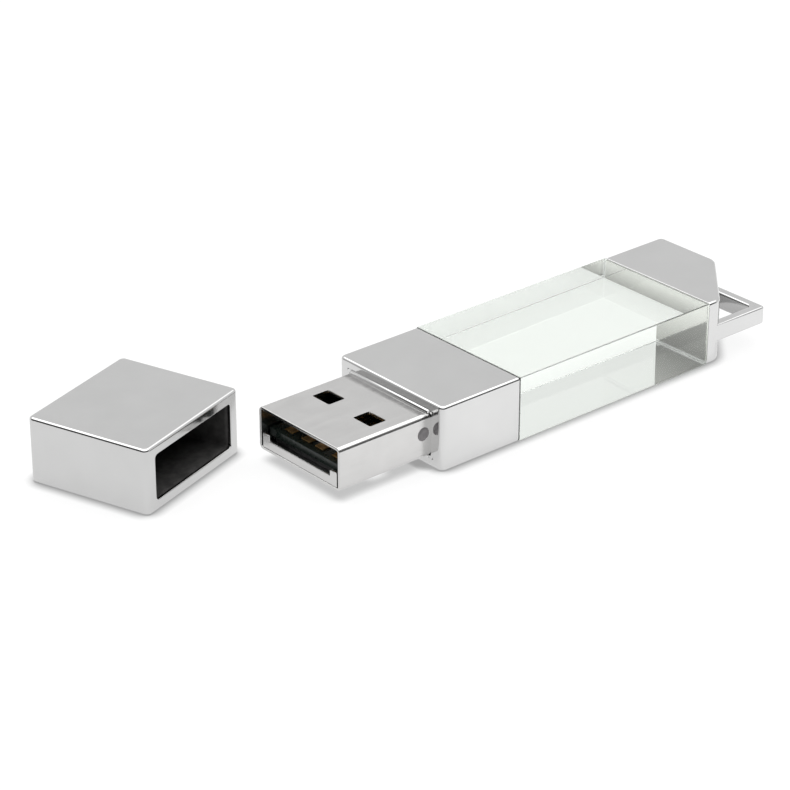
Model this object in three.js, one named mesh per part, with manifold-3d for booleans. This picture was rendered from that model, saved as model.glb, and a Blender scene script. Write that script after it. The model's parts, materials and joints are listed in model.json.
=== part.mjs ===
// A pull-cap flash drive: a clear glass block bonded between two polished metal ends. The front end
// holds the connector plug and its board, the tail end carries a lanyard loop, and the cap lies off.
// Millimetres. +X runs from the plug to the tail, +Z is up, and z = 0 is the surface it lies on.
// The frame's origin is the middle of the glass block's underside.

import * as THREE from 'three';
import { mergeVertices } from 'three/addons/utils/BufferGeometryUtils.js';
import Module from 'manifold-3d';

const wasm = await Module();
wasm.setup();
const { Manifold, Mesh } = wasm;

// ---------------------------------------------------------------- driving dimensions
const SECTION_W = 15.2;       // width of the housing, glass, tail and cap
const SECTION_H = 6.8;        // their height
const EDGE = 0.3;             // rounding of the long top and bottom edges of the metal ends
const CORNER = 0.6;           // rounding of their upright corners

const GLASS_L = 25.8;         // clear block
const BOND_T = 0.2;           // adhesive film at each end of the glass
const BOND_INSET = 0.35;      // the film stops short of the polished edges
const HOUSING_L = 10.0;       // front metal housing
const HOUSING_WALL = 0.8;
const TAIL_L = 8.4;           // tail casting

const PLUG_W = 12.0;          // standard connector plug shell
const PLUG_H = 4.5;
const PLUG_L = 11.25;         // exposed length in front of the housing
const PLUG_WALL = 0.3;
const PLUG_CORNER = 0.5;
const PLUG_ANCHOR = 1.2;      // length held inside the housing, behind its wall
const WINDOW_L = 2.0;         // latch windows, through the top and bottom of the shell
const WINDOW_W = 2.5;
const WINDOW_FROM_TIP = 5.16;
const WINDOW_PITCH = 6.05;
const DIMPLE_R = 0.7;         // round dent in each side of the shell, close to the housing
const DIMPLE_DEPTH = 0.2;
const DIMPLE_FROM_HOUSING = 0.95;
const DIMPLE_RISE = 0.4;      // above the middle of the shell

const COLLAR_RIM = 0.3;       // collar's border round the plug
const COLLAR_PROUD = 0.25;    // how far its two beads stand out of the housing

const BOARD_T = 0.8;
const BOARD_GAP = 0.2;        // board to the shell's side walls
const PACKAGE_T = 0.7;        // memory package, between the board and its tray
const BOARD_BACK = 0.7;       // board's end to the inside of the housing's rear wall
const TONGUE_INSET = 0.9;     // plug tip to the board's front edge
const CONTACT_T = 0.15;
const CONTACT_W = 1.2;
const CONTACT_L = 7.6;
const CONTACT_INNER = 1.0;    // across, from the middle to the two inner contacts
const CONTACT_OUTER = 3.5;    // and to the two outer ones
const CONTACT_INSET = 0.7;    // board's front edge to the contacts
const CHIP_SIZE = 4.6;        // controller
const CHIP_INSET = 0.6;       // inside of the housing's front wall to the controller
const CRYSTAL_L = 3.2;
const CRYSTAL_W = 1.5;
const SMALL_L = 1.0;          // capacitors and resistors
const SMALL_W = 0.5;
const COMPONENT_GAP = 0.5;
const SUPPORT_T = 0.3;        // pressed tray under the board
const SUPPORT_LIP = 0.9;      // height of its front lip above the shell's floor
const SUPPORT_TAB = 1.5;      // height of the lip's two end tabs
const SUPPORT_TAB_W = 1.0;
const SUPPORT_INSET = 0.02;   // plug tip to the lip's front

const CAP_L = 13.6;
const CAP_END = 1.0;          // thickness of the closed end
const CAP_WALL_SIDE = 0.9;
const CAP_WALL_TOP = 0.8;
const CAP_FIT = 0.05;         // cap's pocket to the plug, each side
const LINER_GLUE = 0.05;      // glue gap between the liner and the cap shell
const CAP_LIP = 0.35;         // turned-in lip that hides the liner's edge at the mouth
const MOUTH_FIT = 0.2;        // mouth to the plug, across
const MOUTH_FIT_TOP = 0.1;    // and upright
const LINER_END = 0.3;        // its closed end
const CAP_REST_X = -44.3;     // middle of the cap as it lies beside the drive
const CAP_REST_Y = 12.4;
const CAP_REST_YAW = -71.5;   // degrees: the way the cap's mouth faces, from +X

const LOOP_T = 1.1;           // lanyard loop bar, across
const LOOP_H = 1.9;           // and upright
const LOOP_Z = 2.1;           // underside of the bar
const CUT_START = 1.5;        // glass to where the tail's cut corner begins
const CUT_END = -0.3;         // where the cut meets the tail's end face, across
const LOOP_CORNER = 0.4;

// ---------------------------------------------------------------- places worked out from them
const MID_Z = SECTION_H / 2;
const HOUSING_BACK = -GLASS_L / 2 - BOND_T;
const HOUSING_FRONT = HOUSING_BACK - HOUSING_L;
const PLUG_TIP = HOUSING_FRONT - PLUG_L;
const PLUG_BACK = HOUSING_FRONT + HOUSING_WALL + PLUG_ANCHOR;
const TAIL_FRONT = GLASS_L / 2 + BOND_T;
const TAIL_BACK = TAIL_FRONT + TAIL_L;
const SHELL_FLOOR = MID_Z - PLUG_H / 2 + PLUG_WALL;
const BOARD_BOTTOM = SHELL_FLOOR + SUPPORT_T + PACKAGE_T;
const BOARD_TOP = BOARD_BOTTOM + BOARD_T;
const BOARD_W = PLUG_W - 2 * PLUG_WALL - 2 * BOARD_GAP;
const BOARD_FRONT = PLUG_TIP + TONGUE_INSET;
const BOARD_END = HOUSING_BACK - HOUSING_WALL - BOARD_BACK;
const CHIP_FRONT = HOUSING_FRONT + HOUSING_WALL + CHIP_INSET;
const COLLAR_W = PLUG_W + 2 * COLLAR_RIM;
const COLLAR_H = PLUG_H + 2 * COLLAR_RIM;

// ---------------------------------------------------------------- materials
const metal = (color, roughness) => new THREE.MeshStandardMaterial({ color, roughness, metalness: 1 });
const plastic = (color, roughness) => new THREE.MeshStandardMaterial({ color, roughness, metalness: 0 });
const polished = metal(0xc9c9c9, 0.16);
const plated = metal(0xd2d0ce, 0.2);
const gold = metal(0xd6a64a, 0.25);
const solder = metal(0xb9b9b5, 0.4);
const black = plastic(0x161616, 0.55);
const epoxy = plastic(0x1c1c1e, 0.45);
const boardMask = plastic(0x1f2a22, 0.4);
const ceramic = plastic(0xb08a5a, 0.5);
const adhesive = plastic(0xb8bcb8, 0.5);
const glass = new THREE.MeshStandardMaterial({
  color: 0xe4f3ea, roughness: 0.03, metalness: 0, transparent: true, opacity: 0.35,
});

// ---------------------------------------------------------------- shape helpers
const solidOf = (geometry) => {
  const bare = new THREE.BufferGeometry();
  bare.setAttribute('position', geometry.getAttribute('position').clone());
  if (geometry.index) bare.setIndex(geometry.index.clone());
  const joined = mergeVertices(bare, 1e-4);
  return new Manifold(new Mesh({
    numProp: 3,
    vertProperties: new Float32Array(joined.getAttribute('position').array),
    triVerts: new Uint32Array(joined.index.array),
  }));
};

const geometryOf = (solid) => {
  const mesh = solid.getMesh();
  const geometry = new THREE.BufferGeometry();
  geometry.setAttribute('position', new THREE.BufferAttribute(new Float32Array(mesh.vertProperties), 3));
  geometry.setIndex(new THREE.BufferAttribute(new Uint32Array(mesh.triVerts), 1));
  geometry.computeVertexNormals();
  return geometry;
};

const cut = (geometry, ...tools) => {
  const removed = tools.map(solidOf);
  return geometryOf(removed.reduce((left, tool) => left.subtract(tool), solidOf(geometry)));
};

const join = (geometry, ...others) => {
  const added = others.map(solidOf);
  return geometryOf(added.reduce((whole, other) => whole.add(other), solidOf(geometry)));
};

// A box between two corners.
const block = ([x0, y0, z0], [x1, y1, z1]) => new THREE.BoxGeometry(x1 - x0, y1 - y0, z1 - z0)
  .translate((x0 + x1) / 2, (y0 + y1) / 2, (z0 + z1) / 2);

// An outline through corner points, each rounded by its own radius.
const roundedOutline = (corners) => {
  const shape = new THREE.Shape();
  corners.forEach(([x, y, radius], i) => {
    const here = new THREE.Vector2(x, y);
    const before = new THREE.Vector2(...corners.at(i - 1).slice(0, 2)).sub(here).normalize();
    const after = new THREE.Vector2(...corners[(i + 1) % corners.length].slice(0, 2)).sub(here).normalize();
    const reach = radius / Math.tan(before.angleTo(after) / 2);
    const start = here.clone().addScaledVector(before, reach);
    const end = here.clone().addScaledVector(after, reach);
    if (i === 0) shape.moveTo(start.x, start.y);
    else shape.lineTo(start.x, start.y);
    if (radius > 0) shape.quadraticCurveTo(x, y, end.x, end.y);
  });
  shape.closePath();
  return shape;
};

// A rectangle with the same rounding at its four corners.
const roundedRectangle = (width, height, radius) => roundedOutline([
  [-width / 2, -height / 2, radius],
  [width / 2, -height / 2, radius],
  [width / 2, height / 2, radius],
  [-width / 2, height / 2, radius],
]);

// A plan outline raised from z0 to z1, with its top and bottom edges rounded.
const raised = (outline, z0, z1, edge = EDGE) => new THREE.ExtrudeGeometry(outline, {
  depth: z1 - z0 - 2 * edge,
  curveSegments: 5,
  bevelEnabled: edge > 0,
  bevelThickness: edge,
  bevelSize: edge,
  bevelOffset: -edge,
  bevelSegments: 3,
}).translate(0, 0, z0 + edge);

// A cross-section in the Y-Z plane, drawn about the drive's axis, carried from x0 to x1.
const along = (section, x0, x1, middle = MID_Z) => new THREE.ExtrudeGeometry(section, {
  depth: x1 - x0, curveSegments: 5, bevelEnabled: false,
}).rotateX(Math.PI / 2).rotateZ(Math.PI / 2).translate(x0, 0, middle);

const piece = (name, geometry, material) => {
  const mesh = new THREE.Mesh(geometry, material.clone());
  mesh.name = name;
  return mesh;
};

// ---------------------------------------------------------------- metal ends and glass
const frontHousing = () => {
  const side = SECTION_W / 2;
  const outer = raised(roundedOutline([
    [HOUSING_FRONT, -side, CORNER],
    [HOUSING_BACK, -side, 0],
    [HOUSING_BACK, side, 0],
    [HOUSING_FRONT, side, CORNER],
  ]), 0, SECTION_H);
  const room = block(
    [HOUSING_FRONT + HOUSING_WALL, -side + HOUSING_WALL, HOUSING_WALL],
    [HOUSING_BACK - HOUSING_WALL, side - HOUSING_WALL, SECTION_H - HOUSING_WALL],
  );
  const doorway = block(
    [HOUSING_FRONT - 1, -COLLAR_W / 2, MID_Z - COLLAR_H / 2],
    [HOUSING_FRONT + HOUSING_WALL + 0.1, COLLAR_W / 2, MID_Z + COLLAR_H / 2],
  );
  return piece('front_housing', cut(outer, room, doorway), polished);
};

const bondFilm = (name, x0) => piece(name, block(
  [x0, -SECTION_W / 2 + BOND_INSET, BOND_INSET],
  [x0 + BOND_T, SECTION_W / 2 - BOND_INSET, SECTION_H - BOND_INSET],
), adhesive);

const glassBlock = () => piece('glass_block', block(
  [-GLASS_L / 2, -SECTION_W / 2, 0],
  [GLASS_L / 2, SECTION_W / 2, SECTION_H],
), glass);

// The tail's near corner is cut off, and the loop's two bars complete the rectangle at mid height.
const tailCap = () => {
  const side = SECTION_W / 2;
  const body = raised(roundedOutline([
    [TAIL_FRONT, -side, 0],
    [TAIL_FRONT + CUT_START, -side, CORNER],
    [TAIL_BACK, CUT_END, CORNER],
    [TAIL_BACK, side, CORNER],
    [TAIL_FRONT, side, 0],
  ]), 0, SECTION_H);
  const inside = TAIL_FRONT + CUT_START;
  const bars = raised(roundedOutline([
    [inside, -side, 0],
    [TAIL_BACK, -side, LOOP_CORNER],
    [TAIL_BACK, CUT_END + LOOP_T, 0],
    [TAIL_BACK - LOOP_T, CUT_END + LOOP_T, 0],
    [TAIL_BACK - LOOP_T, -side + LOOP_T, LOOP_CORNER / 2],
    [inside, -side + LOOP_T, 0],
  ]), LOOP_Z, LOOP_Z + LOOP_H, EDGE / 2);
  return piece('tail_cap', join(body, bars), polished);
};

// ---------------------------------------------------------------- connector plug
const plugShell = () => {
  const outer = along(roundedRectangle(PLUG_W, PLUG_H, PLUG_CORNER), PLUG_TIP, PLUG_BACK);
  const inner = along(roundedRectangle(
    PLUG_W - 2 * PLUG_WALL,
    PLUG_H - 2 * PLUG_WALL,
    PLUG_CORNER - PLUG_WALL,
  ), PLUG_TIP - 1, PLUG_BACK + 1);
  const windows = [-1, 1].map((side) => block(
    [PLUG_TIP + WINDOW_FROM_TIP, side * WINDOW_PITCH / 2 - WINDOW_W / 2, MID_Z - PLUG_H],
    [PLUG_TIP + WINDOW_FROM_TIP + WINDOW_L, side * WINDOW_PITCH / 2 + WINDOW_W / 2, MID_Z + PLUG_H],
  ));
  const dimples = [-1, 1].map((side) => (
    new THREE.CylinderGeometry(DIMPLE_R, DIMPLE_R, 2 * DIMPLE_DEPTH, 20)
      .translate(HOUSING_FRONT - DIMPLE_FROM_HOUSING, side * PLUG_W / 2, MID_Z + DIMPLE_RISE)
  ));
  return piece('plug_shell', cut(outer, inner, ...windows, ...dimples), plated);
};

// Flush with the housing round the plug, with a bead standing out above and below it.
const plugCollar = () => {
  const flush = along(
    roundedRectangle(COLLAR_W, COLLAR_H, COLLAR_RIM),
    HOUSING_FRONT,
    HOUSING_FRONT + HOUSING_WALL,
  );
  const bead = (PLUG_W - PLUG_CORNER) / 2;
  const beads = block(
    [HOUSING_FRONT - COLLAR_PROUD, -bead, MID_Z - COLLAR_H / 2],
    [HOUSING_FRONT + HOUSING_WALL / 2, bead, MID_Z + COLLAR_H / 2],
  );
  const bore = along(
    roundedRectangle(PLUG_W, PLUG_H, PLUG_CORNER / 2),
    HOUSING_FRONT - 1,
    HOUSING_FRONT + HOUSING_WALL + 1,
  );
  return piece('plug_collar', cut(join(flush, beads), bore), polished);
};

// The pressed tray that holds the board up in the shell, with a lip and two tabs at the mouth.
const boardSupport = () => {
  const side = PLUG_W / 2 - PLUG_CORNER;
  const front = PLUG_TIP + SUPPORT_INSET;
  const tray = block([front, -side, SHELL_FLOOR], [PLUG_BACK, side, SHELL_FLOOR + SUPPORT_T]);
  const lip = block([front, -side, SHELL_FLOOR], [front + SUPPORT_T, side, SHELL_FLOOR + SUPPORT_LIP]);
  const tabs = [[-side, -side + SUPPORT_TAB_W], [side - SUPPORT_TAB_W, side]].map(([y0, y1]) => block(
    [front, y0, SHELL_FLOOR],
    [front + SUPPORT_T, y1, SHELL_FLOOR + SUPPORT_TAB],
  ));
  return piece('board_support', join(tray, lip, ...tabs), plated);
};

const contact = (name, across) => {
  const front = BOARD_FRONT + CONTACT_INSET;
  return piece(name, block(
    [front, across - CONTACT_W / 2, BOARD_TOP],
    [front + CONTACT_L, across + CONTACT_W / 2, BOARD_TOP + CONTACT_T],
  ), gold);
};

// ---------------------------------------------------------------- board and what it carries
const circuitBoard = () => piece('circuit_board', block(
  [BOARD_FRONT, -BOARD_W / 2, BOARD_BOTTOM],
  [BOARD_END, BOARD_W / 2, BOARD_TOP],
), boardMask);

const memoryPackage = () => piece('memory_package', block(
  [BOARD_FRONT + 0.4, -BOARD_W / 2 + 0.4, SHELL_FLOOR + SUPPORT_T],
  [PLUG_BACK - 0.6, BOARD_W / 2 - 0.4, BOARD_BOTTOM],
), epoxy);

// A component standing on the board's top face, from its front corner, size and height.
const onBoard = (name, x, y, length, width, height, material) => piece(name, block(
  [x, y, BOARD_TOP],
  [x + length, y + width, BOARD_TOP + height],
), material);

// The controller and crystal stand side by side, and a column of small chips follows them.
const boardComponents = () => {
  const rowY = -(CHIP_SIZE + COMPONENT_GAP + CRYSTAL_W) / 2;
  const columnX = CHIP_FRONT + CHIP_SIZE + COMPONENT_GAP;
  const small = (name, place, height, material) => onBoard(
    name, columnX, rowY + place * (SMALL_W + COMPONENT_GAP), SMALL_L, SMALL_W, height, material,
  );
  return [
    onBoard('controller_chip', CHIP_FRONT, rowY, CHIP_SIZE, CHIP_SIZE, 0.9, epoxy),
    onBoard('clock_crystal', CHIP_FRONT, -rowY - CRYSTAL_W, CRYSTAL_L, CRYSTAL_W, 0.8, solder),
    ...[0, 1, 2].map((i) => small(`capacitor_${i + 1}`, i, 0.5, ceramic)),
    ...[0, 1].map((i) => small(`resistor_${i + 1}`, i + 3.5, 0.35, black)),
  ];
};

// The moulded frame that carries the board's rear end inside the housing.
const boardFrame = () => {
  const side = SECTION_W / 2 - HOUSING_WALL - 0.1;
  const floor = HOUSING_WALL - MID_Z;
  const shelf = BOARD_BOTTOM - MID_Z;
  const section = roundedOutline([
    [-side, floor, 0],
    [side, floor, 0],
    [side, shelf + BOARD_T, 0],
    [BOARD_W / 2 + 0.1, shelf + BOARD_T, 0],
    [BOARD_W / 2 + 0.1, shelf, 0],
    [BOARD_W / 2 - 1, shelf, 0],
    [BOARD_W / 2 - 1, floor + 0.6, 0],
    [-BOARD_W / 2 + 1, floor + 0.6, 0],
    [-BOARD_W / 2 + 1, shelf, 0],
    [-BOARD_W / 2 - 0.1, shelf, 0],
    [-BOARD_W / 2 - 0.1, shelf + BOARD_T, 0],
    [-side, shelf + BOARD_T, 0],
  ]);
  return piece('board_frame', along(section, PLUG_BACK + 0.2, BOARD_END), black);
};

// ---------------------------------------------------------------- cap, drawn with its mouth facing +X
const LINER_W = SECTION_W - 2 * CAP_WALL_SIDE - 2 * LINER_GLUE;
const LINER_H = SECTION_H - 2 * CAP_WALL_TOP - 2 * LINER_GLUE;

const capShell = () => {
  const half = CAP_L / 2;
  const side = SECTION_W / 2;
  const outer = raised(roundedOutline([
    [-half, -side, CORNER],
    [half, -side, CORNER],
    [half, side, CORNER],
    [-half, side, CORNER],
  ]), 0, SECTION_H);
  const pocket = block(
    [-half + CAP_END, -side + CAP_WALL_SIDE, CAP_WALL_TOP],
    [half - CAP_LIP, side - CAP_WALL_SIDE, SECTION_H - CAP_WALL_TOP],
  );
  const mouthW = PLUG_W + 2 * MOUTH_FIT;
  const mouthH = PLUG_H + 2 * MOUTH_FIT_TOP;
  const mouth = block(
    [half - CAP_LIP - 1, -mouthW / 2, MID_Z - mouthH / 2],
    [half + 1, mouthW / 2, MID_Z + mouthH / 2],
  );
  return piece('cap_shell', cut(outer, pocket, mouth), polished);
};

const capLiner = () => {
  const back = -CAP_L / 2 + CAP_END + LINER_GLUE;
  const mouth = CAP_L / 2 - CAP_LIP - LINER_GLUE;
  const pocketW = PLUG_W + 2 * CAP_FIT;
  const pocketH = PLUG_H + 2 * CAP_FIT;
  const outer = block(
    [back, -LINER_W / 2, MID_Z - LINER_H / 2],
    [mouth, LINER_W / 2, MID_Z + LINER_H / 2],
  );
  const pocket = block(
    [back + LINER_END, -pocketW / 2, MID_Z - pocketH / 2],
    [mouth + 1, pocketW / 2, MID_Z + pocketH / 2],
  );
  return piece('cap_liner', cut(outer, pocket), black);
};

// ---------------------------------------------------------------- assembly
const cap = new THREE.Group();
cap.add(capShell(), capLiner());
cap.position.set(CAP_REST_X, CAP_REST_Y, 0);
cap.rotation.z = THREE.MathUtils.degToRad(CAP_REST_YAW);

const contacts = [-CONTACT_OUTER, -CONTACT_INNER, CONTACT_INNER, CONTACT_OUTER]
  .map((across, i) => contact(`contact_${i + 1}`, across));

const drive = new THREE.Group();
drive.add(
  frontHousing(),
  bondFilm('front_bond', HOUSING_BACK),
  glassBlock(),
  bondFilm('tail_bond', GLASS_L / 2),
  tailCap(),
  plugShell(),
  plugCollar(),
  boardSupport(),
  circuitBoard(),
  memoryPackage(),
  ...contacts,
  ...boardComponents(),
  boardFrame(),
);

const flashDrive = new THREE.Group();
flashDrive.add(drive, cap);

export default flashDrive;
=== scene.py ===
"""Finished look of a pull-cap flash drive: a clear glass block between polished metal ends.

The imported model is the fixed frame. Every piece made here takes its size and place from it, in metres.
"""

import json
import math

import bmesh
import bpy
from bpy.props import FloatProperty, FloatVectorProperty, IntProperty, PointerProperty
from mathutils import Matrix, Vector


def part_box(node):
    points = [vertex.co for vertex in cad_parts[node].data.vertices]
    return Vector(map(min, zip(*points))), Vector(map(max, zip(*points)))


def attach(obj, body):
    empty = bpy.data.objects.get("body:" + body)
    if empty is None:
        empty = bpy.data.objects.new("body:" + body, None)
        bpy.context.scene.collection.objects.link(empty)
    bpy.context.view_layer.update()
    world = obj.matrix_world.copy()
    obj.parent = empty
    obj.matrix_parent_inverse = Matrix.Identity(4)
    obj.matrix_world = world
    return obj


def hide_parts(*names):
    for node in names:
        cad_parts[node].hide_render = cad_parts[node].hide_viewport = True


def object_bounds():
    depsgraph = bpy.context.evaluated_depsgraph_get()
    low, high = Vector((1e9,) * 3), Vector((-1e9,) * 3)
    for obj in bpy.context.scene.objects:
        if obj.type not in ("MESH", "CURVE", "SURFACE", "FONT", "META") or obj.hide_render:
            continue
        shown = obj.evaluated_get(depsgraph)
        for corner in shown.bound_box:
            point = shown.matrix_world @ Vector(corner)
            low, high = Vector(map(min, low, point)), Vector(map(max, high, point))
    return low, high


bl_info = {
    "name": "Glass flash drive",
    "version": (1, 0, 0),
    "blender": (4, 5, 0),
    "location": "View3D > Sidebar > Flash Drive",
    "description": "Builds the finished pieces and the stage of a pull-cap flash drive",
    "category": "Object",
}

MM = 0.001
SAME = 1e-7  # points closer than this are one point
TOUCH = 1e-6  # a corner this near to a plane lies on it
FINE_EDGE = 0.02 * MM  # easing of cut edges on polished metal
BAR_CORNER = 0.4 * MM
MOUTH_CORNER = 0.4 * MM
WINDOW_CORNER = 0.18 * MM
BEAD_ROUNDING = 0.2 * MM
WETTED = 0.95  # share of each bond gap that the glass reaches into

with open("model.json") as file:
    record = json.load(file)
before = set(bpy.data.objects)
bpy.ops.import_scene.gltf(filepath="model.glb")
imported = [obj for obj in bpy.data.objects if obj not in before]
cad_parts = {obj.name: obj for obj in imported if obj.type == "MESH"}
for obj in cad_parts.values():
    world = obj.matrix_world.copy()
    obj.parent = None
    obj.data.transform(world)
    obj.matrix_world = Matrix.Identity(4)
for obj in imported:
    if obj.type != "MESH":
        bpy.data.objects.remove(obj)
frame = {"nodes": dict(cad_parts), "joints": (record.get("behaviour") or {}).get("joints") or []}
CAD_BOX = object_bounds()


# ---------------------------------------------------------------- what the frame says

def turned(point, degrees):
    """A point turned about the vertical axis."""
    return Matrix.Rotation(math.radians(degrees), 4, "Z") @ Vector(point)


def turned_box(node, degrees):
    """Lowest and highest corner of a node, measured after undoing a turn about the vertical axis."""
    points = [turned(v.co, -degrees) for v in frame["nodes"][node].data.vertices]
    low = Vector([min(p[i] for p in points) for i in range(3)])
    high = Vector([max(p[i] for p in points) for i in range(3)])
    return low, high


# The cap's hinge brings it in line with the plug at its upper limit, so that limit is its turn at rest.
CAP_YAW = -frame["joints"][0]["range_deg"][1]

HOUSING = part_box("front_housing")
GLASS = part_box("glass_block")
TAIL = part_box("tail_cap")
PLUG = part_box("plug_shell")
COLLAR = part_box("plug_collar")
CAP = turned_box("cap_shell", CAP_YAW)
LINER = turned_box("cap_liner", CAP_YAW)
MIDDLE_Z = (PLUG[0].z + PLUG[1].z) / 2


# ---------------------------------------------------------------- sizes and colours a user would change

class CastingSettings(bpy.types.PropertyGroup):
    tone: FloatVectorProperty(
        name="Tone", description="Reflected colour of the polished castings",
        default=(0.64, 0.64, 0.638), size=3, subtype="COLOR", min=0, max=1)
    roughness: FloatProperty(
        name="Roughness", description="Haze of the polish", default=0.13, min=0, max=1, subtype="FACTOR")
    edge: FloatProperty(
        name="Edge rounding", description="Radius along the long edges",
        default=0.3 * MM, unit="LENGTH", precision=5)
    seam: FloatProperty(
        name="Seam rounding", description="Radius where a casting meets the glass",
        default=0.14 * MM, unit="LENGTH", precision=5)
    corner: FloatProperty(
        name="Corner rounding", description="Radius of the upright corners",
        default=0.6 * MM, unit="LENGTH", precision=5)
    wall: FloatProperty(
        name="Housing wall", description="Thickness of the front housing's walls",
        default=0.8 * MM, unit="LENGTH", precision=5)


class LoopSettings(bpy.types.PropertyGroup):
    cut_start: FloatProperty(
        name="Cut start", description="Glass end of the tail to where its cut corner begins",
        default=1.5 * MM, unit="LENGTH", precision=5)
    cut_end: FloatProperty(
        name="Cut end", description="Where the cut meets the tail's end face, across from the middle",
        default=-0.3 * MM, unit="LENGTH", precision=5)
    bar: FloatProperty(
        name="Bar width", description="Lanyard bar, across", default=1.1 * MM, unit="LENGTH", precision=5)
    height: FloatProperty(
        name="Bar height", description="Lanyard bar, upright", default=1.9 * MM, unit="LENGTH", precision=5)
    underside: FloatProperty(
        name="Bar underside", description="Height of the bar above the surface",
        default=2.1 * MM, unit="LENGTH", precision=5)


class PlugSettings(bpy.types.PropertyGroup):
    tone: FloatVectorProperty(
        name="Tone", description="Reflected colour of the plated shell",
        default=(0.625, 0.62, 0.615), size=3, subtype="COLOR", min=0, max=1)
    roughness: FloatProperty(
        name="Roughness", description="Haze of the plating", default=0.2, min=0, max=1, subtype="FACTOR")
    wall: FloatProperty(
        name="Wall", description="Sheet thickness", default=0.3 * MM, unit="LENGTH", precision=5)
    corner: FloatProperty(
        name="Corner rounding", description="Outer bend of the sheet",
        default=0.5 * MM, unit="LENGTH", precision=5)
    window_length: FloatProperty(
        name="Window length", description="Latch window, along the plug",
        default=2.0 * MM, unit="LENGTH", precision=5)
    window_width: FloatProperty(
        name="Window width", description="Latch window, across the plug",
        default=2.5 * MM, unit="LENGTH", precision=5)
    window_from_tip: FloatProperty(
        name="Window from tip", description="Plug tip to the windows",
        default=5.16 * MM, unit="LENGTH", precision=5)
    window_pitch: FloatProperty(
        name="Window pitch", description="Middle to middle of the two windows",
        default=6.05 * MM, unit="LENGTH", precision=5)
    dent_radius: FloatProperty(
        name="Dent radius", description="Round dent in each side of the shell",
        default=0.7 * MM, unit="LENGTH", precision=5)
    dent_depth: FloatProperty(
        name="Dent depth", description="Deepest point of the dent",
        default=0.2 * MM, unit="LENGTH", precision=5)
    # Painted shade: the dent's hollow gets this dull darker grey in place of the plating.
    dent_shade_tone: FloatVectorProperty(
        name="Dent tone", description="Colour of the dull hollow of the dent",
        default=(0.225, 0.215, 0.22), size=3, subtype="COLOR", min=0, max=1)
    dent_from_housing: FloatProperty(
        name="Dent from housing", description="Housing's front face to the dent's middle",
        default=0.95 * MM, unit="LENGTH", precision=5)
    dent_rise: FloatProperty(
        name="Dent rise", description="Dent's middle above the shell's middle",
        default=0.4 * MM, unit="LENGTH", precision=5)


class CapSettings(bpy.types.PropertyGroup):
    wall_side: FloatProperty(
        name="Side wall", description="Cap shell, at its two sides",
        default=0.9 * MM, unit="LENGTH", precision=5)
    wall_top: FloatProperty(
        name="Top wall", description="Cap shell, top and bottom",
        default=0.8 * MM, unit="LENGTH", precision=5)
    lip: FloatProperty(
        name="Lip", description="Turned-in lip at the mouth, which hides the liner's edge",
        default=0.35 * MM, unit="LENGTH", precision=5)
    mouth_side: FloatProperty(
        name="Mouth gap, sides", description="Mouth to the plug when the cap is on, each side",
        default=0.2 * MM, unit="LENGTH", precision=5)
    mouth_top: FloatProperty(
        name="Mouth gap, top", description="Mouth to the plug when the cap is on, top and bottom",
        default=0.1 * MM, unit="LENGTH", precision=5)
    end: FloatProperty(
        name="Closed end", description="Thickness of the cap's end wall",
        default=1.0 * MM, unit="LENGTH", precision=5)
    liner_wall: FloatProperty(
        name="Liner end", description="Thickness of the liner's end wall",
        default=0.3 * MM, unit="LENGTH", precision=5)
    fit: FloatProperty(
        name="Fit", description="Gap from the plug to the liner when the cap is on, each side",
        default=0.05 * MM, unit="LENGTH", precision=5)
    tone: FloatVectorProperty(
        name="Liner tone", description="Colour of the moulded liner",
        default=(0.055, 0.054, 0.053), size=3, subtype="COLOR", min=0, max=1)


class GlassSettings(bpy.types.PropertyGroup):
    tint: FloatVectorProperty(
        name="Tint", description="Colour of the clear block", default=(0.948, 0.99, 0.946),
        size=3, subtype="COLOR", min=0, max=1)
    ior: FloatProperty(name="Index", description="Index of refraction", default=1.52, min=1, max=2)
    arris: FloatProperty(
        name="Arris", description="Width of the ground edges", default=0.1 * MM, unit="LENGTH", precision=5)


class BoardSettings(bpy.types.PropertyGroup):
    leads: IntProperty(
        name="Leads a side", description="Leads along each side of the controller", default=7, min=1, max=16)
    lead_pitch: FloatProperty(
        name="Lead pitch", description="Middle to middle of two leads",
        default=0.5 * MM, unit="LENGTH", precision=5)
    traces: IntProperty(
        name="Traces", description="Copper traces running back from the contacts", default=4, min=1, max=12)


class StageSettings(bpy.types.PropertyGroup):
    azimuth: FloatProperty(
        name="Camera azimuth", description="Where the camera stands, from +X",
        default=math.radians(-130.71), unit="ROTATION")
    elevation: FloatProperty(
        name="Camera elevation", description="Height of the camera above the horizon",
        default=math.radians(26.49), unit="ROTATION")
    distance: FloatProperty(
        name="Camera distance", description="Camera to the point it looks at", default=0.2782, unit="LENGTH")
    lens: FloatProperty(
        name="Lens", description="Focal length in millimetres", default=131.96, min=1)
    sweep: FloatProperty(
        name="Sweep", description="Brightness of the pale sweep beyond the table", default=0.82, min=0)
    overhead: FloatProperty(
        name="Overhead light", description="Brightness of the soft light above", default=2.4, min=0)
    room: FloatProperty(
        name="Room", description="Brightness of the unlit room behind the camera", default=0.06, min=0)
    floor_glow: FloatProperty(
        name="Table light", description="Light that comes through the pale table from below",
        default=0.78, min=0)
    floor_tone: FloatVectorProperty(
        name="Floor tone", description="Colour of the plain floor", default=(0.18, 0.18, 0.18),
        size=3, subtype="COLOR", min=0, max=1)
    # The contact shade is painted into the table's glow by an occlusion node, and only the camera sees it.
    contact: FloatProperty(
        name="Contact shade", description="Reach of the soft shade where things stand on the floor",
        default=1.45 * MM, unit="LENGTH", precision=5)


SETTINGS = {
    "drive_casting": CastingSettings,
    "drive_loop": LoopSettings,
    "drive_plug": PlugSettings,
    "drive_cap": CapSettings,
    "drive_glass": GlassSettings,
    "drive_board": BoardSettings,
    "drive_stage": StageSettings,
}


# ---------------------------------------------------------------- materials

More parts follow.
